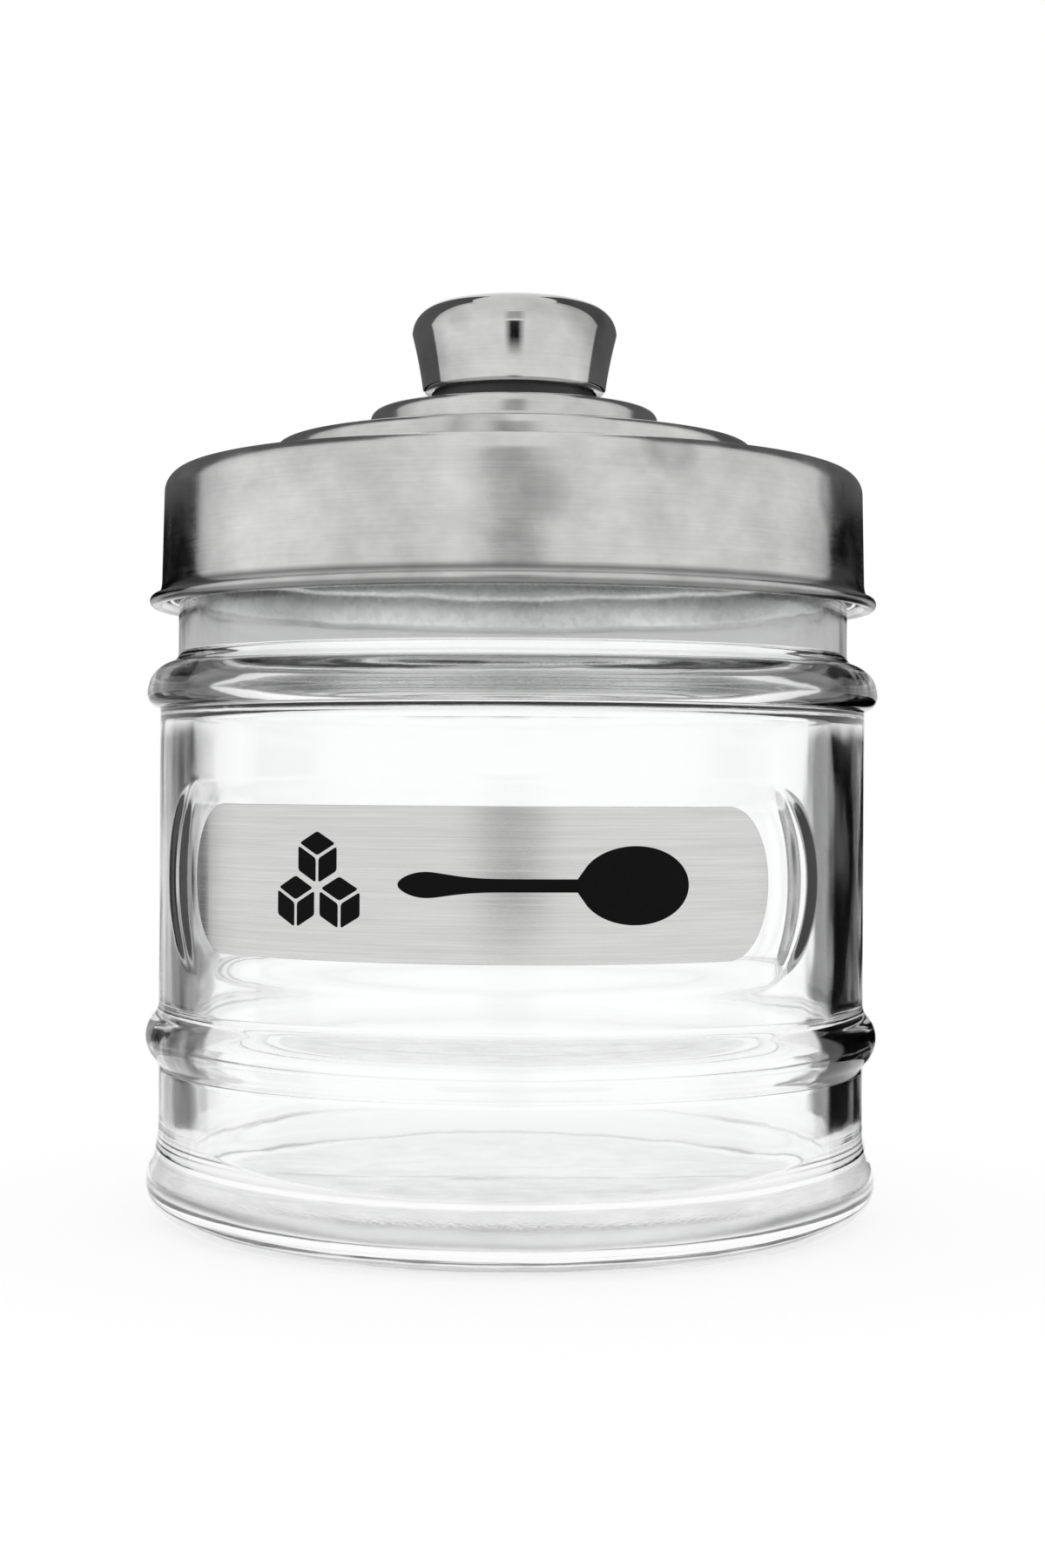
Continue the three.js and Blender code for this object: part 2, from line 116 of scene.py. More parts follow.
class SugarJarGlass(bpy.types.PropertyGroup):
    """Sizes of the pressed glass jar."""

    body_radius: mm("Body radius", 55, "Outside of the straight wall")
    wall: mm("Wall", 5, "Thickness of the straight wall")
    foot_flare: mm("Foot flare", 1.8, "Reach of the foot out of the wall")
    foot_rounding: mm("Foot rounding", 5.9, "Radius under the foot ring")
    foot_land: mm("Foot land", 0.4, "Upright land of the foot ring")
    foot_shoulder: mm("Foot shoulder", 5.5, "Radius over the foot ring")
    foot_height: mm("Foot height", 15.5, "Where the foot joins the wall")
    rest_width: mm("Resting ring", 5.2, "Width of the flat ring underneath")
    push_up_step: mm("Push-up step", 0.9, "Step inside the resting ring")
    push_up_height: mm("Push-up", 2.8, "Rise of the underside's middle")
    floor_height: mm("Floor height", 5.8, "Height of the floor's edge")
    floor_crown: mm("Floor crown", 1.2, "Rise of the floor's middle")
    floor_rounding: mm("Floor rounding", 7, "Radius between floor and wall")
    ring_reach: mm("Ring reach", 2, "Reach of both rings out of the wall")
    lower_rounding: mm("Lower ring", 5, "Radius of its section")
    lower_height: mm("Lower ring height", 28.2, "Height of its middle")
    shoulder_rounding: mm("Shoulder ring", 5, "Radius of its upper half")
    shoulder_under: mm("Under the ring", 2.2, "Radius of its lower half")
    shoulder_height: mm("Shoulder height", 80.8, "Height of the ring's widest line")
    shoulder_wall: mm("Shoulder wall", 3.8, "Thickness at that line")
    hollow_drop: mm("Hollow drop", 0.6, "From that line to the hollow inside")
    hollow_rise: mm("Hollow rise", 5.6, "Height of the hollow's upper half")
    hollow_fall: mm("Hollow fall", 3.7, "Height of the hollow's lower half")
    ring_fillet: mm("Ring fillet", 0.5, "Fillet under the shoulder ring")
    lower_fillet: mm("Lower fillet", 3, "Fillets of the lower ring")
    neck_setback: mm("Neck setback", 2.8, "From the wall in to the neck")
    neck_wall: mm("Neck wall", 3, "Thickness of the neck")
    neck_fillet: mm("Neck fillet", 1.6, "Fillet between shoulder and neck")
    rim_rounding: mm("Rim rounding", 1.4, "Radius of the rim's edges")
    panel_depth: mm("Panel depth", 0.8, "Depth of the label's panel")
    panel_height: mm("Panel height", 17.6, "Height of the panel's floor")
    panel_draft: mm("Panel draft", 6.4, "Slope of the panel's long edges")
    crescent_start: mm("Crescents from", 41.4, "Where a crescent's arcs would meet")
    crescent_inner: mm("Inner arc", 10.2, "Bulge of a crescent's inner arc")
    crescent_outer: mm("Outer arc", 17.2, "Bulge of a crescent's outer arc")
    crescent_half: mm("Crescent's half", 16, "Half the height of a crescent")
    ledge_from: share("Ledge from", 0.44, "Start of a crescent's level ledge")
    ledge_to: share("Ledge to", 0.62, "End of that ledge at its widest")
    panel_middle: mm("Panel middle", 53.4, "Height of panel's and label's middle")


class SugarJarLabel(bpy.types.PropertyGroup):
    """Sizes of the label plate and what is printed on it."""

    inner_radius: mm("Back radius", 54.65, "Radius of the label's back")
    sheet: mm("Sheet", 0.45, "Thickness of the label")
    plate_length: mm("Length", 93.2, "Length round the jar")
    plate_height: mm("Height", 21.5, "Height of the label")
    end: mm("End", 7.5, "Bulge of the label's rounded ends")
    ink: mm("Ink", 0.04, "Thickness of the print")


class SugarJarLid(bpy.types.PropertyGroup):
    """Sizes of the pressed lid and the seal that lines it."""

    sheet: mm("Sheet", 0.6, "Thickness of the lid")
    top: mm("Top edge", 115.4, "Height of the lid's outer top")
    skirt_top: mm("Skirt top", 54.5, "Radius under the outer edge")
    skirt_foot: mm("Skirt foot", 54.8, "Radius over the rolled edge")
    skirt_height: mm("Skirt height", 17.1, "Height of the straight skirt")
    skirt_corner: mm("Skirt corner", 3.5, "Radius of the lid's outer edge")
    annulus_rise: mm("Annulus rise", 1, "Rise of the outer ring")
    tier_radius: mm("Tier radius", 37.6, "Radius of the first step")
    tier_height: mm("Tier height", 3.7, "Height of the first step")
    tier_corner: mm("Tier corner", 1.7, "Radius of the steps' edges")
    tier_fillet: mm("Tier fillet", 0.8, "Fillet at the steps' feet")
    dome_rise: mm("Dome rise", 1.9, "Rise between the two steps")
    collar_radius: mm("Collar radius", 22.6, "Radius of the second step")
    collar_height: mm("Collar height", 3.6, "Height of the second step")
    collar_rise: mm("Collar rise", 0.7, "From the second step to the seat")
    seat_radius: mm("Seat radius", 13.4, "Radius of the knob's flat seat")
    hole_radius: mm("Hole radius", 2.6, "Radius of the screw's hole")
    bead_radius: mm("Bead radius", 0.95, "Radius of the rolled edge")
    bead_reach: mm("Bead reach", 1.85, "Reach of the rolled edge")
    bead_drop: mm("Bead drop", 3.25, "From the skirt to the rolled edge")
    curl: mm("Curl", 1.5, "Radius inside the rolled edge")
    seal_inner: mm("Seal inside", 53, "Inner radius of the seal's sleeve")
    seal_outer: mm("Seal outside", 53.6, "Outer radius of the seal's sleeve")
    seal_under: mm("Seal underside", 113.3, "Height of the flange's underside")
    seal_flange: mm("Seal flange", 1.2, "Thickness of the seal's flange")
    seal_mouth: mm("Seal mouth", 48.4, "Inner radius of the seal's flange")
    seal_sleeve: mm("Seal sleeve", 18.2, "Length of the seal's sleeve")
    fin_reach: mm("Fin reach", 0.5, "How far the soft fins stand in")
    fin_height: mm("Fin height", 1.2, "Height of a fin over its tip")
    fin_pitch: mm("Fin pitch", 6.3, "Distance between fins")


class SugarJarKnob(bpy.types.PropertyGroup):
    """Sizes of the knob and its plug."""

    wall: mm("Wall", 0.7, "Thickness of the spun knob")
    foot_radius: mm("Foot radius", 14.5, "Radius of the knob's foot")
    widest: mm("Widest radius", 16.15, "Radius under the knob's shoulder")
    foot_rounding: mm("Foot rounding", 0.9, "Radius of the knob's lower edge")
    mouth: mm("Mouth radius", 13, "Radius of the hole that the plug fills")
    shoulder: mm("Shoulder", 4.6, "Radius of the knob's shoulder")
    shoulder_drop: mm("Shoulder drop", 6.15, "From the top to the widest line")
    waist: mm("Waist", 0.25, "Hollow of the knob's side")
    plug_neck: mm("Plug neck", 12.6, "Radius of the plug's neck")
    plug_flange: mm("Plug flange", 13.4, "Radius of the plug's flange")
    plug_flange_height: mm("Flange height", 2.2, "Height of that flange")
    plug_boss: mm("Boss radius", 4.6, "Radius of the plug's boss")
    plug_bore: mm("Bore radius", 2.25, "Radius of the screw's bore")
    plug_roof: mm("Boss roof", 2, "Thickness over the bore")
    seat: mm("Seat height", 126.3, "Height of the lid's seat under the knob")
    gap: mm("Gap", 0.3, "Clearance between pieces")


class SugarJarFinish(bpy.types.PropertyGroup):
    """Colours of the pieces."""

    glass: colour("Glass", (0.99, 0.995, 0.993), "Tint of the clear glass")
    lid: colour("Lid", (0.66, 0.66, 0.655), "Satin steel of lid and knob")
    lid_inside: colour("Lid inside", (0.86, 0.86, 0.855), "Bright steel inside the lid")
    label: colour("Label", (0.66, 0.66, 0.655), "Brushed steel of the label")
    ink: colour("Ink", (0.005, 0.005, 0.005), "Print on the label")
    seal: colour("Seal", (0.97, 0.975, 0.975), "Ring that the lid shines through")
    plug: colour("Plug", (0.02, 0.02, 0.021), "Plastic under the knob")
    film: colour("Film", (0.66, 0.67, 0.68), "Adhesive behind the label")
    zinc: colour("Zinc", (0.45, 0.46, 0.47), "Plated screw and washer")


class SugarJarStudio(bpy.types.PropertyGroup):
    """Camera, floor and dark cards."""

    distance: mm("Camera distance", 385, "From the jar's axis")
    eye: mm("Camera height", 67.4, "Above the ground")
    lens: number("Lens", 56.06, "Focal length", unit="CAMERA")
    azimuth: degrees("Azimuth", 7.5, "Turn of the camera to the jar's right side")
    roll: degrees("Roll", -0.32, "Lean of the camera")
    across: number("Across", 12, "Sideways shift in pixels of the photograph")
    up: number("Up", -2, "Upward shift in pixels of the photograph")
    floor_half: mm("Floor", 30000, "Half the width of the floor")
    floor_grey: share("Floor grey", 0.22, "How much light the floor sends back")
    floor_glow: share("Floor glow", 0.8, "How bright the floor is by itself")
    drum_radius: mm("Drum radius", 125, "Radius of the cards round the jar")
    drum_low: mm("Drum foot", 0.3, "Lower edge of both drums")
    drum_high: mm("Drum top", 400, "Upper edge of both drums")
    card_from: degrees("Cards from", 98, "Near edge of both side cards")
    low_card_to: degrees("Low cards to", 137.5, "Far edge of the low side cards")
    high_card_to: degrees("High cards to", 158, "Far edge of the high side cards")
    low_card_top: mm("Low cards' top", 77, "Height of the low side cards")
    gap_foot: mm("Gap's foot", 79, "Lower edge of the grey over the low cards")
    high_card_foot: mm("High cards' foot", 99, "Lower edge of the high cards")
    crown_foot: mm("Crown's foot", 119, "Where the high cards get weaker")
    crown_strength: share("Crown tone", 0.88, "How dark the high cards are there")
    card_softness: degrees("Card softness", 3, "Width of the cards' soft edges")
    veil_from: degrees("Veil from", 76, "Where the room begins to darken")
    veil_strength: share("Veil", 0.3, "How dark the room gets before the cards")
    left_strength: share("Left cards", 0.6, "Least darkness of the left card's streaks")
    left_core: degrees("Left core", 124, "Far edge of that card's darker part")
    left_outside: share("Outside the core", 0.4, "How much weaker that card is there")
    front_radius: mm("Front radius", 384, "Radius of the cards round the camera")
    front_half: degrees("Front strip", 9, "Half the grey strip over the camera")
    front_softness: degrees("Strip softness", 8, "Width of its soft edges")
    front_foot: mm("Strip's foot", 104, "Lower edge of that strip")
    front_strength: share("Front strip tone", 0.45, "How dark that strip is")
    spot_half: degrees("Spot", 8, "Half the dark spot under the camera")
    spot_foot: mm("Spot's foot", 8, "Lower edge of that spot")
    spot_top: mm("Spot's top", 55, "Upper edge of that spot")
    back_edge: mm("Back card", 90, "Height of the white card behind the jar")
    back_top: mm("Room's top", 113, "Where the bright ceiling begins")
    gap_strength: share("Gap tone", 0.35, "How dark the grey over the low cards is")
    room_strength: share("Room tone", 0.5, "How dark the room above the card is")


def bevel(mesh, geometry, rounding, segments, affect):
    """Rounds off the given vertices or edges of a bmesh."""
    bmesh.ops.bevel(
        mesh,
        geom=geometry,
        offset=rounding,
        offset_type="OFFSET",
        segments=segments,
        profile=0.5,
        affect=affect,
        material=-1,
    )


class Contour:
    """A lathe profile in the XZ plane, where x is the radius, drawn with a pen."""

    def __init__(self, radius, height):
        self.mesh = bmesh.new()
        self.first = self.mesh.verts.new((radius, 0, height))
        self.pen = self.first
        self.corners = []

    def line(self, radius, height, steps=1):
        """Draws a straight line from the pen."""
        move = (Vector((radius, 0, height)) - self.pen.co) / steps
        for _ in range(steps):
            drawn = bmesh.ops.extrude_vert_indiv(self.mesh, verts=[self.pen])
            self.pen = drawn["verts"][0]
            bmesh.ops.translate(self.mesh, verts=[self.pen], vec=move)

    def wall(self, radius, height):
        """Draws a straight wall whose short end steps keep its shading flat."""
        start = self.pen.co.copy()
        end = Vector((radius, 0, height))
        edge = (end - start).normalized() * WALL_EDGE
        self.line(*(start + edge).xz)
        self.line(*(end - edge).xz)
        self.line(radius, height)

    def corner(self, radius, height, rounding, segments=4):
        """Draws a line to a corner, which is rounded when the contour is turned."""
        self.line(radius, height)
        self.corners.append((self.pen, rounding, segments))

    def arc(self, radius, height, rounding, start, end, steps):
        """Draws a line to an arc's start, and the arc about its centre."""
        angle = math.radians(start)
        x = radius + rounding * math.cos(angle)
        z = height + rounding * math.sin(angle)
        if (Vector((x, 0, z)) - self.pen.co).length > SAME_POINT:
            self.line(x, z)
        drawn = bmesh.ops.spin(
            self.mesh,
            geom=[self.pen],
            cent=(radius, 0, height),
            axis=(0, -1, 0),
            angle=math.radians(end - start),
            steps=steps,
            use_duplicate=False,
        )
        self.pen = drawn["geom_last"][0]

    def bend(self, control, end, steps):
        """Draws a soft curve that starts towards the control point."""
        start = self.pen.co.x, self.pen.co.z
        for step in range(1, steps + 1):
            t = step / steps
            keep = (1 - t) ** 2
            pull = 2 * t * (1 - t)
            reach = t**2
            self.line(
                keep * start[0] + pull * control[0] + reach * end[0],
                keep * start[1] + pull * control[1] + reach * end[1],
            )

    def close(self):
        self.line(self.first.co.x, self.first.co.z)

    def turned(self, sectors, start=0):
        """Spins the contour about Z in sectors of (degrees, steps), and closes the skin."""
        mesh = self.mesh
        bmesh.ops.remove_doubles(mesh, verts=mesh.verts, dist=SAME_POINT)
        for vert, rounding, segments in self.corners:
            bevel(mesh, [vert], rounding, segments, "VERTICES")
        turn = Matrix.Rotation(math.radians(start), 3, "Z")
        bmesh.ops.rotate(mesh, verts=mesh.verts, cent=(0, 0, 0), matrix=turn)
        ends = mesh.verts[:] + mesh.edges[:]
        for angle, steps in sectors:
            spun = bmesh.ops.spin(
                mesh,
                geom=ends,
                cent=(0, 0, 0),
                axis=(0, 0, 1),
                angle=math.radians(angle),
                steps=steps,
                use_merge=angle == FULL_TURN,
                use_duplicate=False,
            )
            ends = spun["geom_last"]
        bmesh.ops.remove_doubles(mesh, verts=mesh.verts, dist=SAME_POINT)
        bmesh.ops.recalc_face_normals(mesh, faces=mesh.faces)
        return mesh

    def turned_whole(self, steps):
        return self.turned(((FULL_TURN, steps),))


def linked(mesh, name, material):
    """Turns a bmesh into an object of the scene with one material."""
    data = bpy.data.meshes.new(name)
    mesh.to_mesh(data)
    mesh.free()
    data.materials.append(material)
    made = bpy.data.objects.new(name, data)
    bpy.context.scene.collection.objects.link(made)
    return made


def finished(mesh, name, body, material, node=None, crease=38):
    """Turns a bmesh into a piece that rides on a body and may stand for a CAD node."""
    piece = linked(mesh, name, material)
    piece.data.shade_smooth()
    piece.data.set_sharp_from_angle(angle=math.radians(crease))
    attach(piece, body)
    if node:
        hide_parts(node)
    return piece


# Materials


class Shader:
    """A material's node tree with one Principled shader, and short ways to add nodes."""

    def __init__(self, name, base, roughness, **values):
        self.material = bpy.data.materials.new(name)
        self.material.use_nodes = True
        self.tree = self.material.node_tree
        self.surface = self.tree.nodes["Principled BSDF"]
        self.surface.inputs["Base Color"].default_value = (*base, 1)
        self.surface.inputs["Roughness"].default_value = roughness
        for socket, value in values.items():
            self.surface.inputs[socket.replace("_", " ")].default_value = value
        self.place = self.node("ShaderNodeTexCoord").outputs["Object"]

    def node(self, kind, inputs=(), **settings):
        """Adds a node, sets it up and fills its inputs by number or name."""
        made = self.tree.nodes.new(kind)
        for setting, value in settings.items():
            setattr(made, setting, value)
        for socket, value in dict(inputs).items():
            if isinstance(value, bpy.types.NodeSocket):
                self.tree.links.new(value, made.inputs[socket])
            else:
                made.inputs[socket].default_value = value
        return made

    def stretched(self, x, y, z, source=None):
        """Object coordinates multiplied along each axis."""
        inputs = {"Vector": source or self.place, "Scale": (x, y, z)}
        return self.node("ShaderNodeMapping", inputs).outputs["Vector"]

    def noise(self, vector, scale, detail=2, roughness=0.5):
        inputs = {"Vector": vector, "Scale": scale, "Detail": detail, "Roughness": roughness}
        return self.node("ShaderNodeTexNoise", inputs).outputs["Fac"]

    def spread(self, value, low, high, source_low=0.3, source_high=0.7):
        """Maps a noise to a range of values."""
        inputs = {0: value, 1: source_low, 2: source_high, 3: low, 4: high}
        return self.node("ShaderNodeMapRange", inputs).outputs["Result"]

    def math(self, kind, first, *others):
        """Takes each further value into the first by one kind of arithmetic."""
        for other in others:
            first = self.node("ShaderNodeMath", {0: first, 1: other}, operation=kind).outputs[0]
        return first

    def sum(self, *values):
        return self.math("ADD", *values)

    def less(self, first, second):
        return self.math("SUBTRACT", first, second)

    def times(self, *values):
        return self.math("MULTIPLY", *values)

    def parts(self, place=None):
        """The x, y and z of a place."""
        return self.node("ShaderNodeSeparateXYZ", {0: place or self.place}).outputs

    def off_axis(self, x, y):
        """Distance from the Z axis."""
        return self.math("POWER", self.sum(self.times(x, x), self.times(y, y)), 0.5)

    def bearing(self, x, y):
        """Angle round the Z axis, from -Y towards +X."""
        return self.math("ARCTAN2", x, self.times(y, -1.0))

    def edge(self, value, place, softness, low=0, high=1):
        """Goes softly from low to high where a value passes a place."""
        return self.spread(value, low, high, place - softness, place + softness)

    def band(self, value, start, end, softness):
        """One between two limits and zero outside them, with soft edges."""
        fall = self.edge(value, end, softness, 1, 0)
        return self.times(self.edge(value, start, softness), fall)

    def tone(self, value):
        """Multiplies the base colour by a value that varies over the surface."""
        base = self.surface.inputs["Base Color"]
        mixed = self.node(
            "ShaderNodeMix",
            {"Factor": 1.0, "A": base.default_value[:], "B": value},
            data_type="RGBA",
            blend_type="MULTIPLY",
        )
        self.tree.links.new(mixed.outputs["Result"], base)

    def link(self, value, socket):
        self.tree.links.new(value, self.surface.inputs[socket])

    def bump(self, height, distance):
        inputs = {"Height": height, "Distance": distance, "Strength": 1.0}
        self.link(self.node("ShaderNodeBump", inputs).outputs["Normal"], "Normal")

    def shine_round_axis(self):
        """Stretches the shine as marks in circles round the Z axis do."""
        tangent = self.node("ShaderNodeTangent", direction_type="RADIAL", axis="Z")
        self.link(tangent.outputs[0], "Tangent")

    def replace_surface(self, made):
        """Gives the material another shader than the Principled one."""
        output = self.tree.nodes["Material Output"]
        self.tree.links.new(made.outputs[0], output.inputs["Surface"])
        self.tree.nodes.remove(self.surface)


def turned_place(shader, pitch):
    """Coordinates that change fast along a turned contour and slowly round the axis."""
    x, y, z = shader.parts()
    along = shader.times(shader.less(z, shader.off_axis(x, y)), pitch)
    return shader.node("ShaderNodeCombineXYZ", {0: x, 1: y, 2: along}).outputs[0]


def drop_marks(shader, haze):
    """The rings that dried drops leave, where the haze is thick."""
    spots = shader.node(
        "ShaderNodeTexVoronoi",
        {"Vector": shader.place, "Scale": 58, "Smoothness": 0.3},
        feature="SMOOTH_F1",
    )
    distance = spots.outputs["Distance"]
    drop = shader.spread(distance, 1, 0, 0.22, 0.34)
    ring = shader.spread(distance, 0.3, 1, 0.1, 0.24)
    return shader.times(drop, ring, shader.spread(haze, 0, 1, 0.28, 0.38))


def painted_edge_shade(shader, shade, rolled_edge, crease, skirt):
    """Darkens a lid's tone with painted shade under its rolled edge, on it and in the crease over
    it.
    """
    soft = 0.2 * MM
    crease_foot = crease - 0.4 * MM
    crease_top = crease + 0.5 * MM
    x, y, height = shader.parts()
    # Painted shade: darker under the rolled edge outside the skirt, a little darker on the edge,
    # darkest in the crease over it
    outside = shader.edge(shader.off_axis(x, y), skirt, soft / 2, 0, 0.6)
    below = shader.edge(height, rolled_edge, soft, 1, 0)
    under = shader.less(1.0, shader.times(below, outside))
    on_edge = shader.spread(shader.band(height, rolled_edge, crease, soft), 1, 0.86, 0, 1)
    crease_shade = shader.band(height, crease_foot, crease_top, 2 * soft)
    return shader.times(shade, under, on_edge, shader.spread(crease_shade, 1, 0.35, 0, 1))


def satin_steel(name, base, roughness, bump=0.01 * MM, edge=None, **values):
    """Steel turned round Z: fine rings, a hazy mottle and marks of dried drops.

    A rolled edge is given by its height, the height of the crease over it and the skirt's radius,
    and gets painted shade under it, on it and in that crease.
    """
    shader = Shader(name, base, roughness, Metallic=1.0, **values)
    shader.shine_round_axis()
    rings = shader.noise(turned_place(shader, 60), 60, 3, 0.7)
    haze = shader.noise(shader.stretched(1, 1, 1.6), 44, 4, 0.62)
    smudge = shader.noise(shader.place, 170, 3, 0.6)
    marked = drop_marks(shader, haze)
    level = shader.sum(
        shader.spread(haze, 0.7, 1.3),
        shader.spread(smudge, -0.2, 0.2),
        shader.spread(rings, -0.15, 0.15),
        shader.times(marked, 0.3),
    )
    shader.link(shader.times(level, roughness), "Roughness")
    shade = shader.times(
        shader.spread(rings, 0.95, 1.03),
        shader.spread(haze, 0.72, 1.1),
        shader.spread(smudge, 0.93, 1.04),
        shader.spread(marked, 1.0, 0.72, 0, 1),
    )
    # Painted shade at the rolled edge and in its crease
    if edge:
        shade = painted_edge_shade(shader, shade, *edge)
    shader.tone(shade)
    shader.bump(rings, bump)
    return shader.material


def bright_steel(name, base):
    """The lid's inside, bright as rolled, with faint drawing marks."""
    shader = Shader(name, base, 0.6, Metallic=1.0)
    marks = shader.noise(shader.stretched(1, 1, 0.3), 320, 3, 0.6)
    cloud = shader.noise(shader.place, 70, 2)
    shader.tone(shader.times(shader.spread(marks, 0.94, 1.02), shader.spread(cloud, 0.95, 1.0)))
    shader.link(shader.spread(marks, 0.12, 0.24), "Roughness")
    shader.bump(marks, 0.01 * MM)
    return shader.material


def brushed_label(name, base):
    """Steel brushed along the label's length."""
    shader = Shader(name, base, 0.3, Metallic=1.0, Anisotropic=0.7, Anisotropic_Rotation=0.25)
    shader.shine_round_axis()
    lines = shader.noise(shader.stretched(30, 30, 9000), 1, 3, 0.75)
    broad = shader.noise(shader.stretched(60, 60, 900), 1, 2, 0.6)
    haze = shader.noise(shader.place, 90, 2)
    shader.tone(shader.times(shader.spread(lines, 0.86, 1.08), shader.spread(broad, 0.95, 1.04)))
    level = shader.sum(shader.spread(lines, 0.18, 0.3), shader.spread(haze, -0.03, 0.03))
    shader.link(level, "Roughness")
    shader.bump(lines, 0.01 * MM)
    return shader.material


def clear_glass(name, base):
    """Pressed glass with a slow waviness and a trace of mould grain."""
    shader = Shader(name, base, 0.05, IOR=1.5, Transmission_Weight=1.0)
    waves = shader.noise(shader.place, 45, 1.5, 0.4)
    ripple = shader.noise(shader.stretched(1, 1, 0.35), 160, 1, 0.4)
    height = shader.sum(waves, shader.times(ripple, 0.18))
    shader.bump(height, 0.3 * MM)
    return shader.material


def stippled_glass(name, base):
    """The jar's underside, which lies on the paper and shows it with a faint mottle."""
    shader = Shader(name, base, 0.15, IOR=1.03, Transmission_Weight=1.0)
    mottle = shader.noise(shader.place, 150, 3, 0.6)
    stipple = shader.noise(shader.place, 1100, 2, 0.5)
    shader.tone(shader.spread(mottle, 0.68, 1.0))
    shader.bump(stipple, 0.03 * MM)
    return shader.material


def moulded(name, base, roughness, grain, **values):
    """Plastic or rubber with a fine moulded grain."""
    shader = Shader(name, base, roughness, **values)
    grains = shader.noise(shader.place, grain, 3, 0.6)
    cloud = shader.noise(shader.place, 90, 2)
    shader.tone(shader.spread(cloud, 0.9, 1.06))
    shader.link(shader.spread(grains, roughness - 0.06, roughness + 0.08), "Roughness")
    shader.bump(grains, 0.02 * MM)
    return shader.material


def plated_zinc(name, base):
    """Zinc plate with a bright mottle."""
    shader = Shader(name, base, 0.32, Metallic=1.0)
    crystals = shader.node("ShaderNodeTexVoronoi", {"Vector": shader.place, "Scale": 900})
    mottle = shader.noise(shader.place, 400, 2)
    shader.tone(shader.spread(mottle, 0.85, 1.1))
    shader.link(shader.spread(crystals.outputs["Distance"], 0.24, 0.42, 0, 1), "Roughness")
    shader.bump(mottle, 0.01 * MM)
    return shader.material


# Operators


def eased(value, low, high):
    """Rises softly from 0 at the low value to 1 at the high one."""
    part = min(max((value - low) / (high - low), 0), 1)
    return part * part * (3 - 2 * part)


def touching(apart, across):
    """Rise and turn, in degrees, from one circle's centre to another's that it touches."""
    return math.sqrt(apart**2 - across**2), math.degrees(math.acos(across / apart))


def panel_depth_at(sizes, along, height):
    """Depth of the label's panel at a point of the unrolled wall.

    The long edges rise softly. Each end is a crescent between two bulging arcs, where the floor
    rises to the wall in two steps, with a narrow level ledge between them.
    """
    half = sizes.panel_height / 2 + sizes.panel_draft
    across = min(abs(height) / sizes.crescent_half, 1)
    bulge = math.sqrt(1 - across**2)
    inner = sizes.crescent_start + sizes.crescent_inner * bulge
    outer = sizes.crescent_start + sizes.crescent_outer * bulge
    within = (abs(along) - inner) / (outer - inner + HAIR)
    ledge_end = sizes.ledge_from + (sizes.ledge_to - sizes.ledge_from) * (1 - across**2)
    rise = (eased(within, 0, sizes.ledge_from) + eased(within, ledge_end, 1)) / 2
    floor = sizes.panel_depth * (1 - eased(abs(height), sizes.panel_height / 2, half))
    return floor * (1 - rise)


def press_panel(mesh, sizes):
    """Pushes the wall in where the label's panel is, as the mould does."""
    reach = sizes.crescent_start + sizes.crescent_outer
    half = sizes.panel_height / 2 + sizes.panel_draft
    for vert in mesh.verts:
        radius = vert.co.xy.length
        if radius < sizes.body_radius - sizes.wall / 2:
            continue
        along = math.atan2(vert.co.x, -vert.co.y) * sizes.body_radius
        height = vert.co.z - sizes.panel_middle
        if abs(along) > reach or abs(height) > half:
            continue
        depth = panel_depth_at(sizes, along, height)
        vert.co.xy *= (radius - depth) / radius


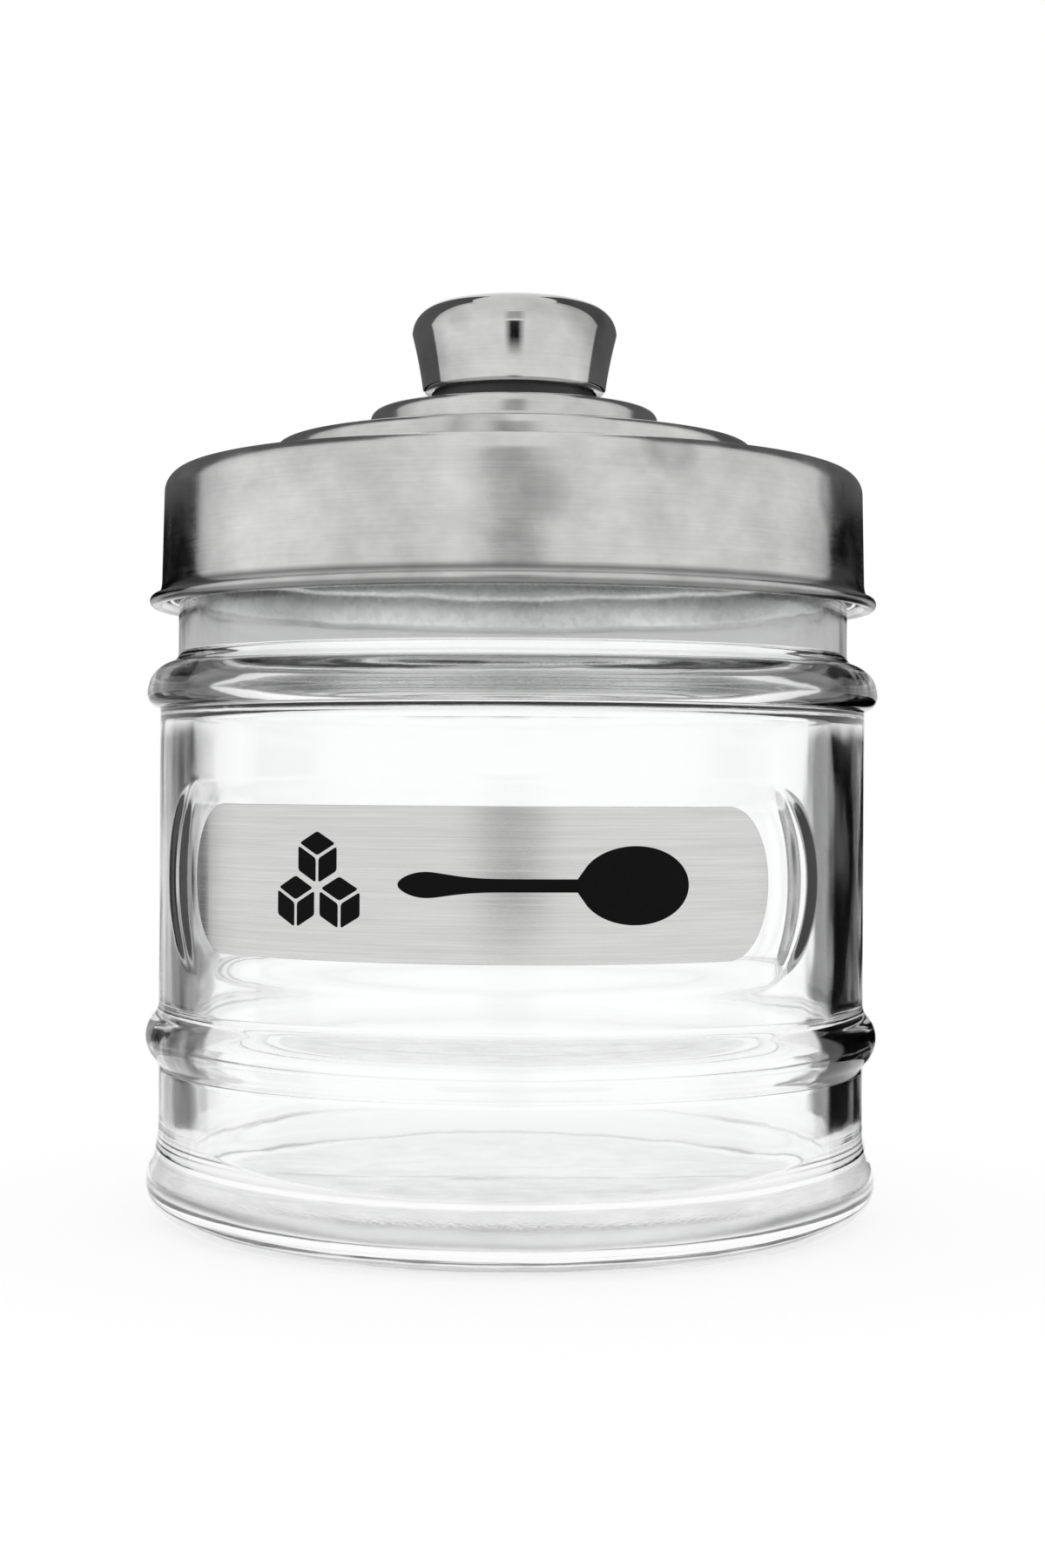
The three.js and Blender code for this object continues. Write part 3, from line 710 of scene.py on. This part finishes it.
class SUGARJAR_OT_glass(bpy.types.Operator):
    """Makes the glass jar: foot, two rings, label panel, neck and rim"""

    bl_idname = "sugar_jar.glass"
    bl_label = "Glass Jar"

    def execute(self, context):
        s = context.scene.sugar_jar_glass
        foot = s.body_radius + s.foot_flare
        rest_outer = foot - s.foot_rounding
        rest_inner = rest_outer - s.rest_width
        hollow = rest_inner - s.push_up_step
        pen = Contour(0, s.push_up_height)
        pen.bend((hollow / 2, s.push_up_height), (hollow, s.push_up_step), 16)
        pen.corner(rest_inner, 0, s.push_up_step / 2)
        pen.wall(rest_outer, 0)
        pen.arc(rest_outer, s.foot_rounding, s.foot_rounding, -90, 0, 16)
        land = s.foot_rounding + s.foot_land
        pen.arc(foot - s.foot_shoulder, land, s.foot_shoulder, 0, 32, 8)
        leave = pen.pen.co.z
        pen.bend((s.body_radius, (leave + s.foot_height) / 2), (s.body_radius, s.foot_height), 10)
        self.draw_lower_ring(pen, s)
        self.draw_wall(pen, s)
        self.draw_shoulder(pen, s)
        neck = s.body_radius - s.neck_setback
        mouth = neck - s.neck_wall
        top = RIM_HEIGHT - s.rim_rounding
        pen.wall(neck, top)
        pen.arc(neck - s.rim_rounding, top, s.rim_rounding, 0, 90, 8)
        pen.arc(mouth + s.rim_rounding, top, s.rim_rounding, 90, 180, 8)
        self.draw_inside(pen, s, mouth)
        mesh = pen.turned(GLASS_SECTORS, GLASS_START)
        press_panel(mesh, s)
        bmesh.ops.recalc_face_normals(mesh, faces=mesh.faces)
        underside = s.push_up_height + HAIR
        for face in mesh.faces:
            centre = face.calc_center_median()
            if centre.z < underside and centre.xy.length < rest_inner:
                face.material_index = 1
        tint = context.scene.sugar_jar_finish.glass
        finish = clear_glass("clear_glass", tint)
        piece = finished(mesh, "glass_jar_body", "jar", finish, "glass_jar", 50)
        piece.data.materials.append(stippled_glass("stippled_glass", tint))
        return {"FINISHED"}

    def draw_lower_ring(self, pen, s):
        """Draws the half-round lower ring, filleted into the wall on both sides."""
        ring = s.lower_rounding
        centre = s.body_radius + s.ring_reach - ring
        fillet = s.body_radius + s.lower_fillet
        rise, turn = touching(ring + s.lower_fillet, fillet - centre)
        low = s.lower_height - rise
        high = s.lower_height + rise
        pen.wall(s.body_radius, low)
        pen.arc(fillet, low, s.lower_fillet, 180, 180 - turn, 6)
        pen.arc(centre, s.lower_height, ring, -turn, turn, 24)
        pen.arc(fillet, high, s.lower_fillet, 180 + turn, 180, 6)

    def draw_wall(self, pen, s):
        """Draws the straight wall, finely stepped over the panel and a margin."""
        margin = MM / 2
        half = s.panel_height / 2 + s.panel_draft + margin
        pen.wall(s.body_radius, s.panel_middle - half)
        pen.line(s.body_radius, s.panel_middle + half, 76)

    def draw_shoulder(self, pen, s):
        """Draws the shoulder ring, with a fillet under it and one up to the neck."""
        ring = s.shoulder_rounding
        under = s.shoulder_under
        height = s.shoulder_height
        widest = s.body_radius + s.ring_reach
        below = s.body_radius + s.ring_fillet
        above = s.body_radius - s.neck_setback + s.neck_fillet
        fall, low_turn = touching(under + s.ring_fillet, below - (widest - under))
        rise, high_turn = touching(ring + s.neck_fillet, above - (widest - ring))
        pen.wall(s.body_radius, height - fall)
        pen.arc(below, height - fall, s.ring_fillet, 180, 180 - low_turn, 6)
        pen.arc(widest - under, height, under, -low_turn, 0, 12)
        pen.arc(widest - ring, height, ring, 0, high_turn, 20)
        pen.arc(above, height + rise, s.neck_fillet, high_turn + 180, 180, 5)

    def draw_inside(self, pen, s, mouth):
        """Draws the neck's inside, the hollow behind the shoulder ring, the wall and the floor."""
        inner = s.body_radius - s.wall
        hollow = s.shoulder_height - s.hollow_drop
        rise = s.hollow_rise
        fall = s.hollow_fall
        widest = s.body_radius + s.ring_reach - s.shoulder_wall
        pen.wall(mouth, hollow + rise)
        pen.bend((mouth, hollow + rise * 0.75), ((mouth + widest) / 2, hollow + rise / 2), 10)
        pen.bend((widest, hollow + rise * 0.25), (widest, hollow), 10)
        pen.bend((widest, hollow - fall * 0.25), ((inner + widest) / 2, hollow - fall / 2), 10)
        pen.bend((inner, hollow - fall * 0.75), (inner, hollow - fall), 10)
        corner = inner - s.floor_rounding
        corner_height = s.floor_height + s.floor_rounding
        middle_height = s.floor_height + s.floor_crown
        pen.wall(inner, corner_height)
        pen.arc(corner, corner_height, s.floor_rounding, 0, -90, 16)
        pen.bend((corner / 2, middle_height), (0, middle_height), 12)


def thicken(mesh, faces, thickness):
    """Extrudes flat faces backwards from y = 0."""
    grown = bmesh.ops.extrude_face_region(mesh, geom=faces, use_keep_orig=True)
    back = [item for item in grown["geom"] if isinstance(item, bmesh.types.BMVert)]
    bmesh.ops.translate(mesh, verts=back, vec=(0, thickness, 0))


def pad(length_round, height, end, thickness, rounding):
    """A flat plate with elliptical ends in the XZ plane, whose front at y = 0 has soft edges."""
    mesh = bmesh.new()
    rim_steps = 90
    bmesh.ops.create_circle(mesh, cap_ends=True, radius=1, segments=rim_steps)
    bmesh.ops.scale(mesh, verts=mesh.verts, vec=(end, height / 2, 1))
    straight = length_round / 2 - end
    for side in (-1, 1):
        half = [vert for vert in mesh.verts if vert.co.x * side > 0]
        bmesh.ops.translate(mesh, verts=half, vec=(side * straight, 0, 0))
    upright = Matrix.Rotation(math.radians(90), 3, "X")
    bmesh.ops.rotate(mesh, verts=mesh.verts, cent=(0, 0, 0), matrix=upright)
    thicken(mesh, mesh.faces[:], thickness)
    front = [edge for edge in mesh.edges if all(abs(vert.co.y) < HAIR for vert in edge.verts)]
    bevel(mesh, front, rounding, 3, "EDGES")
    bmesh.ops.recalc_face_normals(mesh, faces=mesh.faces)
    return mesh


def wrap(mesh, front_radius, unrolled_radius, middle, step):
    """Cuts a flat plate into upright strips and bends it round Z, y = 0 onto the front radius."""
    low = min(vert.co.x for vert in mesh.verts)
    high = max(vert.co.x for vert in mesh.verts)
    count = max(int((high - low) / step), 1)
    tolerance = step / 10000
    for cut in range(1, count):
        bmesh.ops.bisect_plane(
            mesh,
            geom=mesh.verts[:] + mesh.edges[:] + mesh.faces[:],
            dist=tolerance,
            plane_co=(low + (high - low) * cut / count, 0, 0),
            plane_no=(1, 0, 0),
        )
    for vert in mesh.verts:
        angle = vert.co.x / unrolled_radius
        radius = front_radius - vert.co.y
        vert.co = (radius * math.sin(angle), -radius * math.cos(angle), vert.co.z + middle)


class SUGARJAR_OT_label(bpy.types.Operator):
    """Makes the bent label plate and its print, and finishes the adhesive behind it"""

    bl_idname = "sugar_jar.label"
    bl_label = "Label"

    def execute(self, context):
        s = context.scene.sugar_jar_label
        glass = context.scene.sugar_jar_glass
        colours = context.scene.sugar_jar_finish
        front = s.inner_radius + s.sheet
        plate = pad(s.plate_length, s.plate_height, s.end, s.sheet, PLATE_EDGE)
        wrap(plate, front, glass.body_radius, glass.panel_middle, STRIP_WIDTH)
        steel = brushed_label("label_steel", colours.label)
        finished(plate, "label_face", "jar", steel, "label_plate")
        film = moulded("adhesive_film", colours.film, 0.7, 900)
        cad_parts["label_adhesive"].material_slots[0].material = film
        self.print_figure(s, glass, colours, front)
        return {"FINISHED"}

    def print_figure(self, s, glass, colours, front):
        """Prints a teaspoon beside three sugar cubes."""
        ink = moulded("label_ink", colours.ink, 0.7, 1500, Specular_IOR_Level=0.05)
        mesh = bmesh.new()
        spoon(mesh, s.ink)
        for x, z in CUBE_PLACES:
            sugar_cube(mesh, x, z, CUBE_EDGE, s.ink)
        wrap(mesh, front + s.ink, glass.body_radius, glass.panel_middle, STRIP_WIDTH)
        finished(mesh, "label_print", "jar", ink)


def add_plate(mesh, draw_shape, thickness):
    """Adds a flat filled shape to a mesh and thickens it."""
    known = set(mesh.faces)
    draw_shape(mesh)
    thicken(mesh, [face for face in mesh.faces if face not in known], thickness)


def spoon(mesh, ink):
    """A teaspoon that lies level, with its bowl to the right."""
    left = -8.5 * MM
    right = 32.4 * MM
    bowl = 8 * MM
    bowl_half = 5.4 * MM
    tip = 2.6 * MM
    tip_reach = 2.2 * tip
    tip_swell = 1.1
    handle_half = 0.9 * MM
    at_end = 0.001

    def half_height(x):
        in_bowl = (x - right + bowl) / bowl
        round_bowl = bowl_half * math.sqrt(max(1 - in_bowl**2, 0))
        in_tip = min((x - left - 2 * tip) / (2 * tip), 0)
        swell = 1 + tip_swell * math.exp(-((x - left - tip) / tip_reach) ** 2)
        handle = handle_half * swell * math.sqrt(max(1 - in_tip**2, 0))
        return max(round_bowl, handle if x < right - bowl else 0)

    def outline(m):
        made = bmesh.ops.create_circle(m, cap_ends=True, radius=1, segments=180)
        for vert in made["verts"]:
            x = (left + right) / 2 + (right - left) / 2 * vert.co.x
            side = math.copysign(1, vert.co.y) if abs(vert.co.y) > at_end else 0
            vert.co = (x, 0, side * half_height(x))

    add_plate(mesh, outline, ink)


def sugar_cube(mesh, x, z, edge, ink):
    """A sugar cube seen from a corner: three filled faces with thin gaps between them."""
    filled = 0.86
    upright = Matrix.Rotation(math.radians(90), 4, "X")
    flat = Matrix.Diagonal((edge * math.sin(math.radians(60)), 1, edge / 2, 1))
    shrunk = Matrix.Scale(filled, 4)
    for turn in (0, 120, 240):
        side = Matrix.Rotation(math.radians(turn), 4, "Y") @ Matrix.Translation((0, 0, edge / 2))
        placed = Matrix.Translation((x, 0, z)) @ side @ flat @ shrunk @ upright
        add_plate(mesh, lambda m: tile(m, placed), ink)


def tile(mesh, placed):
    """One face of a sugar cube, with softened corners."""
    corner = 0.35 * MM
    made = bmesh.ops.create_circle(mesh, cap_ends=True, radius=1, segments=4, matrix=placed)
    bevel(mesh, made["verts"], corner, 3, "VERTICES")


class SUGARJAR_OT_lid(bpy.types.Operator):
    """Makes the pressed lid with its three steps and rolled edge"""

    bl_idname = "sugar_jar.lid"
    bl_label = "Lid"

    def execute(self, context):
        s = context.scene.sugar_jar_lid
        foot = s.top - s.skirt_height
        bead_x = s.skirt_foot + s.bead_reach - s.bead_radius
        bead_z = foot - s.bead_drop
        crease = bead_z + s.bead_radius + CREASE_RISE
        curl_x = s.skirt_foot - s.sheet + s.curl
        curl_z = bead_z - s.bead_radius + s.curl
        pen = Contour(curl_x - s.curl, curl_z)
        pen.arc(curl_x, curl_z, s.curl, -180, -90, 8)
        pen.arc(bead_x, bead_z, s.bead_radius, -90, 110, 18)
        pen.bend((s.skirt_foot, pen.pen.co.z + s.bead_radius), (s.skirt_foot, foot), 8)
        self.draw_contour(pen, s, 0, 1)
        self.draw_contour(pen, s, s.sheet, -1)
        pen.line(s.skirt_foot - s.sheet, foot)
        pen.close()
        colours = context.scene.sugar_jar_finish
        # The lid's steel gets painted shade under, on and over its rolled edge
        steel = satin_steel(
            "lid_steel",
            colours.lid,
            0.2,
            edge=(bead_z, crease, s.skirt_foot),
            Anisotropic=0.7,
            Anisotropic_Rotation=0.25,
        )
        mesh = pen.turned_whole(240)
        for face in mesh.faces:
            centre = face.calc_center_median()
            outwards = centre.xy.to_3d() + Vector((0, 0, s.skirt_foot))
            if centre.z > foot and face.normal.dot(outwards) < 0:
                face.material_index = 1
        cover = finished(mesh, "lid_cover", "lid", steel, "lid_shell")
        cover.data.materials.append(bright_steel("lid_inside", colours.lid_inside))
        return {"FINISHED"}

    def draw_contour(self, pen, s, inset, way):
        """Draws one side of the sheet inwards (way 1) or back outwards (way -1)."""
        skirt = s.skirt_corner
        tier = s.tier_radius
        collar = s.collar_radius
        tier_foot = s.top + s.annulus_rise
        tier_top = tier_foot + s.tier_height
        collar_foot = tier_top + s.dome_rise
        collar_top = collar_foot + s.collar_height
        seat = collar_top + s.collar_rise
        corner = s.tier_corner
        fillet = s.tier_fillet
        ring_turn = 88
        step_turn = 86
        parts = [
            (s.skirt_top - skirt, s.top - skirt, skirt - inset, 0, ring_turn, 14),
            (tier + fillet, tier_foot + fillet, fillet + inset, 180 + ring_turn, 180, 6),
            (tier - corner, tier_top - corner, corner - inset, 0, step_turn, 8),
            (collar + fillet, collar_foot + fillet, fillet + inset, 180 + step_turn, 180, 6),
            (collar - corner, collar_top - corner, corner - inset, 0, step_turn, 8),
        ]
        if way > 0:
            for part in parts:
                pen.arc(*part)
            pen.line(s.seat_radius, seat - inset, 2)
            pen.line(s.hole_radius, seat - inset, 2)
            return
        pen.line(s.hole_radius, seat - inset)
        pen.line(s.seat_radius, seat - inset, 2)
        for x, z, rounding, start, end, steps in reversed(parts):
            pen.arc(x, z, rounding, end, start, steps)


class SUGARJAR_OT_seal(bpy.types.Operator):
    """Makes the soft seal with its two fins"""

    bl_idname = "sugar_jar.seal"
    bl_label = "Seal"

    def execute(self, context):
        s = context.scene.sugar_jar_lid
        corner_z = s.top - s.skirt_corner
        corner = s.skirt_corner - s.sheet - (s.skirt_top - s.sheet - s.seal_outer)
        foot = s.seal_under - s.seal_sleeve
        fin_edge = 0.1 * MM
        foot_edge = 0.2 * MM
        flange_edge = 0.3 * MM
        pen = Contour(s.seal_mouth, s.seal_under)
        pen.line(s.seal_inner, s.seal_under)
        for fin in (1, 2):
            height = RIM_HEIGHT - fin * s.fin_pitch
            pen.line(s.seal_inner, height + s.fin_height)
            pen.corner(s.seal_inner - s.fin_reach, height, fin_edge, 3)
            pen.line(s.seal_inner, height - s.fin_height / 2)
        pen.corner(s.seal_inner, foot, foot_edge, 3)
        pen.corner(s.seal_outer, foot, foot_edge, 3)
        pen.arc(s.skirt_top - s.skirt_corner, corner_z, corner, 0, 90, 10)
        pen.corner(s.seal_mouth, s.seal_under + s.seal_flange, flange_edge, 3)
        pen.close()
        colours = context.scene.sugar_jar_finish
        rubber = moulded("seal_rubber", colours.seal, 0.26, 700, Metallic=1.0)
        mesh = pen.turned_whole(180)
        finished(mesh, "seal_ring", "seal", rubber, "lid_seal_ring")
        return {"FINISHED"}


class SUGARJAR_OT_knob(bpy.types.Operator):
    """Makes the hollow knob and the plug that closes it"""

    bl_idname = "sugar_jar.knob"
    bl_label = "Knob"

    def execute(self, context):
        s = context.scene.sugar_jar_knob
        colours = context.scene.sugar_jar_finish
        pen = Contour(s.mouth, KNOB_LOW.z)
        self.draw_knob(pen, s, 0, 1)
        self.draw_knob(pen, s, s.wall, -1)
        pen.close()
        steel = satin_steel("knob_steel", colours.lid, 0.06, 0.001 * MM)
        mesh = pen.turned_whole(160)
        finished(mesh, "knob_skin", "lid", steel, "knob_cap")
        self.make_plug(s, colours)
        return {"FINISHED"}

    def draw_knob(self, pen, s, inset, way):
        """Draws one side of the knob's wall up from its lip (way 1) or back down (way -1)."""
        bottom = KNOB_LOW.z
        top = KNOB_HIGH.z
        widest = top - s.shoulder_drop
        foot = (s.foot_radius - s.foot_rounding, bottom + s.foot_rounding, s.foot_rounding - inset)
        low = (s.foot_radius - inset, bottom + s.foot_rounding)
        high = (s.widest - inset, widest)
        waist = ((low[0] + high[0]) / 2 - s.waist, (low[1] + high[1]) / 2)
        shoulder = (s.widest - s.shoulder, widest, s.shoulder - inset)
        angle = math.radians(SHOULDER_TURN)
        reach = shoulder[2] * math.cos(angle)
        edge = (shoulder[0] + reach, widest + shoulder[2] * math.sin(angle))
        crown = (edge[0] / 2, top - inset)
        middle = (0, top - inset)
        if way > 0:
            pen.arc(*foot, -90, 0, 8)
            pen.bend(waist, high, 14)
            pen.arc(*shoulder, 0, SHOULDER_TURN, 16)
            pen.bend(crown, middle, 14)
            return
        pen.line(*middle)
        pen.bend(crown, edge, 14)
        pen.arc(*shoulder, SHOULDER_TURN, 0, 12)
        pen.bend(waist, low, 10)
        pen.arc(*foot, 0, -90, 4)
        pen.line(s.mouth, bottom + inset)

    def make_plug(self, s, colours):
        """Turns the plug, whose flange closes the knob and whose boss takes the screw."""
        neck_edge = 0.25 * MM
        flange_foot_edge = 0.2 * MM
        flange_edge = 0.3 * MM
        boss_edge = 0.4 * MM
        bottom = s.seat + s.gap
        flange = KNOB_LOW.z + s.wall + s.gap
        flange_top = flange + s.plug_flange_height
        pen = Contour(0, PLUG_TOP - s.plug_roof)
        pen.line(s.plug_bore, PLUG_TOP - s.plug_roof)
        pen.line(s.plug_bore, bottom)
        pen.corner(s.plug_neck, bottom, neck_edge)
        pen.line(s.plug_neck, flange)
        pen.corner(s.plug_flange, flange, flange_foot_edge)
        pen.corner(s.plug_flange, flange_top, flange_edge)
        pen.line(s.plug_boss, flange_top)
        pen.corner(s.plug_boss, PLUG_TOP, boss_edge)
        pen.line(0, PLUG_TOP)
        plastic = moulded("black_plastic", colours.plug, 0.42, 1200)
        mesh = pen.turned_whole(96)
        finished(mesh, "knob_plug", "lid", plastic, "knob_base")


class SUGARJAR_OT_fixing(bpy.types.Operator):
    """Finishes the washer and the screw that hold the knob"""

    bl_idname = "sugar_jar.fixing"
    bl_label = "Screw and Washer"

    def execute(self, context):
        zinc = plated_zinc("zinc_steel", context.scene.sugar_jar_finish.zinc)
        for node in ("screw_washer", "knob_screw"):
            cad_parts[node].material_slots[0].material = zinc
        return {"FINISHED"}


class SUGARJAR_OT_studio(bpy.types.Operator):
    """Makes the white room, the floor, the dark cards and the camera"""

    bl_idname = "sugar_jar.studio"
    bl_label = "Studio"

    def execute(self, context):
        scene = context.scene
        s = scene.sugar_jar_studio
        scene.view_settings.view_transform = "Standard"
        world = bpy.data.worlds.new("white_room")
        world.use_nodes = True
        background = world.node_tree.nodes["Background"]
        background.inputs["Color"].default_value = (1, 1, 1, 1)
        background.inputs["Strength"].default_value = 1.0
        scene.world = world
        self.add_floor(s)
        self.add_drum(s, s.drum_radius, "side_cards", self.paint_side_cards)
        self.add_drum(s, s.front_radius, "front_cards", self.paint_front_cards)
        self.add_camera(scene, s)
        return {"FINISHED"}

    def add_floor(self, s):
        """Makes white paper that glows by itself and takes a faint shadow."""
        grey = (s.floor_grey, s.floor_grey, s.floor_grey)
        shader = Shader("white_paper", grey, 1.0)
        diffuse = shader.node("ShaderNodeBsdfDiffuse", {"Color": (*grey, 1)})
        glow = shader.node("ShaderNodeEmission", {"Strength": s.floor_glow})
        both = {0: diffuse.outputs[0], 1: glow.outputs[0]}
        shader.replace_surface(shader.node("ShaderNodeAddShader", both))
        mesh = bmesh.new()
        bmesh.ops.create_grid(mesh, x_segments=1, y_segments=1, size=s.floor_half)
        floor = linked(mesh, "floor", shader.material)

    def add_drum(self, s, radius, name, paint):
        """Makes a drum that only reflections and refractions see, clear but for its cards."""
        shader = Shader(name, (0, 0, 0), 1.0)
        turned = shader.stretched(1, 1, 1)
        turned.node.inputs["Rotation"].default_value = (0, 0, -s.azimuth)
        dark = paint(s, shader, turned)
        clear = shader.node("ShaderNodeBsdfTransparent")
        black = shader.node("ShaderNodeEmission", {"Color": (0, 0, 0, 1), "Strength": 0.0})
        cards = {0: dark, 1: clear.outputs[0], 2: black.outputs[0]}
        shader.replace_surface(shader.node("ShaderNodeMixShader", cards))
        pen = Contour(radius, s.drum_low)
        pen.line(radius, s.drum_high)
        drum = linked(pen.turned_whole(180), name, shader.material)
        drum.visible_camera = False
        drum.visible_diffuse = False
        drum.visible_shadow = False

    def paint_side_cards(self, s, shader, turned):
        """Dark cards at both sides, the grey room behind the jar and a veil before the cards."""
        low_edge = 1.5 * MM
        crown_fade = 5 * MM
        behind_fade = 10 * MM
        left_edge = 0.1
        x, y, z = shader.parts(turned)
        angle = shader.bearing(x, y)
        side = shader.math("ABSOLUTE", angle, 0.0)
        soft = s.card_softness / 2
        streaks = shader.noise(shader.stretched(1, 1, 0.5, turned), 60, 3, 0.6)
        is_left = shader.edge(angle, 0, left_edge, 1, 0)
        outside = shader.edge(side, s.left_core, soft, 0, s.left_outside)
        weaker = shader.sum(shader.spread(streaks, 0, 1 - s.left_strength), outside)
        left = shader.less(1.0, shader.times(is_left, weaker))
        low = shader.band(side, s.card_from, s.low_card_to, soft)
        is_low = shader.edge(z, s.low_card_top, low_edge, 1, 0)
        high = shader.band(side, s.card_from, s.high_card_to, soft)
        is_high = shader.edge(z, s.high_card_foot, MM)
        fading = shader.spread(z, 1, s.crown_strength, s.crown_foot, s.crown_foot + crown_fade)
        behind = shader.spread(y, 0, s.room_strength, 0, behind_fade)
        above_low = shader.edge(z, s.gap_foot, MM, 0, s.gap_strength)
        veil = shader.spread(side, 0, s.veil_strength, s.veil_from, s.card_from)
        return shader.math(
            "MAXIMUM",
            shader.times(low, is_low, left),
            shader.times(high, is_high, fading),
            shader.times(shader.band(z, s.back_edge, s.back_top, MM), behind),
            shader.times(low, above_low),
            shader.times(veil, shader.spread(side, 1, 0, s.card_from, s.card_from + soft)),
        )

    def paint_front_cards(self, s, shader, turned):
        """The grey strip over the camera, which the lid shows, and the knob's dark spot."""
        spot_edge = 12 * MM
        x, y, z = shader.parts(turned)
        angle = shader.bearing(x, y)
        soft = s.front_softness / 2
        above = shader.edge(z, s.front_foot, MM, 0, s.front_strength)
        strip = shader.times(shader.band(angle, -s.front_half, s.front_half, soft), above)
        wide = shader.band(angle, -s.spot_half, s.spot_half, soft)
        tall = shader.band(z, s.spot_foot, s.spot_top, spot_edge)
        return shader.math("MAXIMUM", strip, shader.times(wide, tall))

    def add_camera(self, scene, s):
        data = bpy.data.cameras.new("camera")
        data.lens = s.lens
        data.sensor_width = SENSOR_WIDTH
        data.shift_x = s.across / PHOTO_LONG_SIDE
        data.shift_y = s.up / PHOTO_LONG_SIDE
        camera = bpy.data.objects.new("camera", data)
        scene.collection.objects.link(camera)
        place = Vector((math.sin(s.azimuth), -math.cos(s.azimuth), 0)) * s.distance
        camera.location = place + Vector((0, 0, s.eye))
        camera.rotation_euler = (math.radians(90), s.roll, s.azimuth)
        scene.camera = camera


class SUGARJAR_PT_tools(bpy.types.Panel):
    """Lists what can be made"""

    bl_label = "Sugar Jar"
    bl_idname = "SUGARJAR_PT_tools"
    bl_space_type = "VIEW_3D"
    bl_region_type = "UI"
    bl_category = "Sugar Jar"

    def draw(self, context):
        for operator in OPERATORS:
            self.layout.operator(operator.bl_idname)


GROUPS = {
    "sugar_jar_glass": SugarJarGlass,
    "sugar_jar_label": SugarJarLabel,
    "sugar_jar_lid": SugarJarLid,
    "sugar_jar_knob": SugarJarKnob,
    "sugar_jar_finish": SugarJarFinish,
    "sugar_jar_studio": SugarJarStudio,
}
OPERATORS = (
    SUGARJAR_OT_studio,
    SUGARJAR_OT_glass,
    SUGARJAR_OT_label,
    SUGARJAR_OT_lid,
    SUGARJAR_OT_seal,
    SUGARJAR_OT_knob,
    SUGARJAR_OT_fixing,
)


def register():
    for kind in (*GROUPS.values(), *OPERATORS, SUGARJAR_PT_tools):
        bpy.utils.register_class(kind)
    for name, group in GROUPS.items():
        setattr(bpy.types.Scene, name, bpy.props.PointerProperty(type=group))


def unregister():
    for name in GROUPS:
        delattr(bpy.types.Scene, name)
    for kind in (SUGARJAR_PT_tools, *reversed(OPERATORS), *GROUPS.values()):
        bpy.utils.unregister_class(kind)


def main():
    """Makes every piece in order."""
    register()
    for operator in OPERATORS:
        group, name = operator.bl_idname.split(".")
        getattr(getattr(bpy.ops, group), name)()


if __name__ == "__main__":
    main()
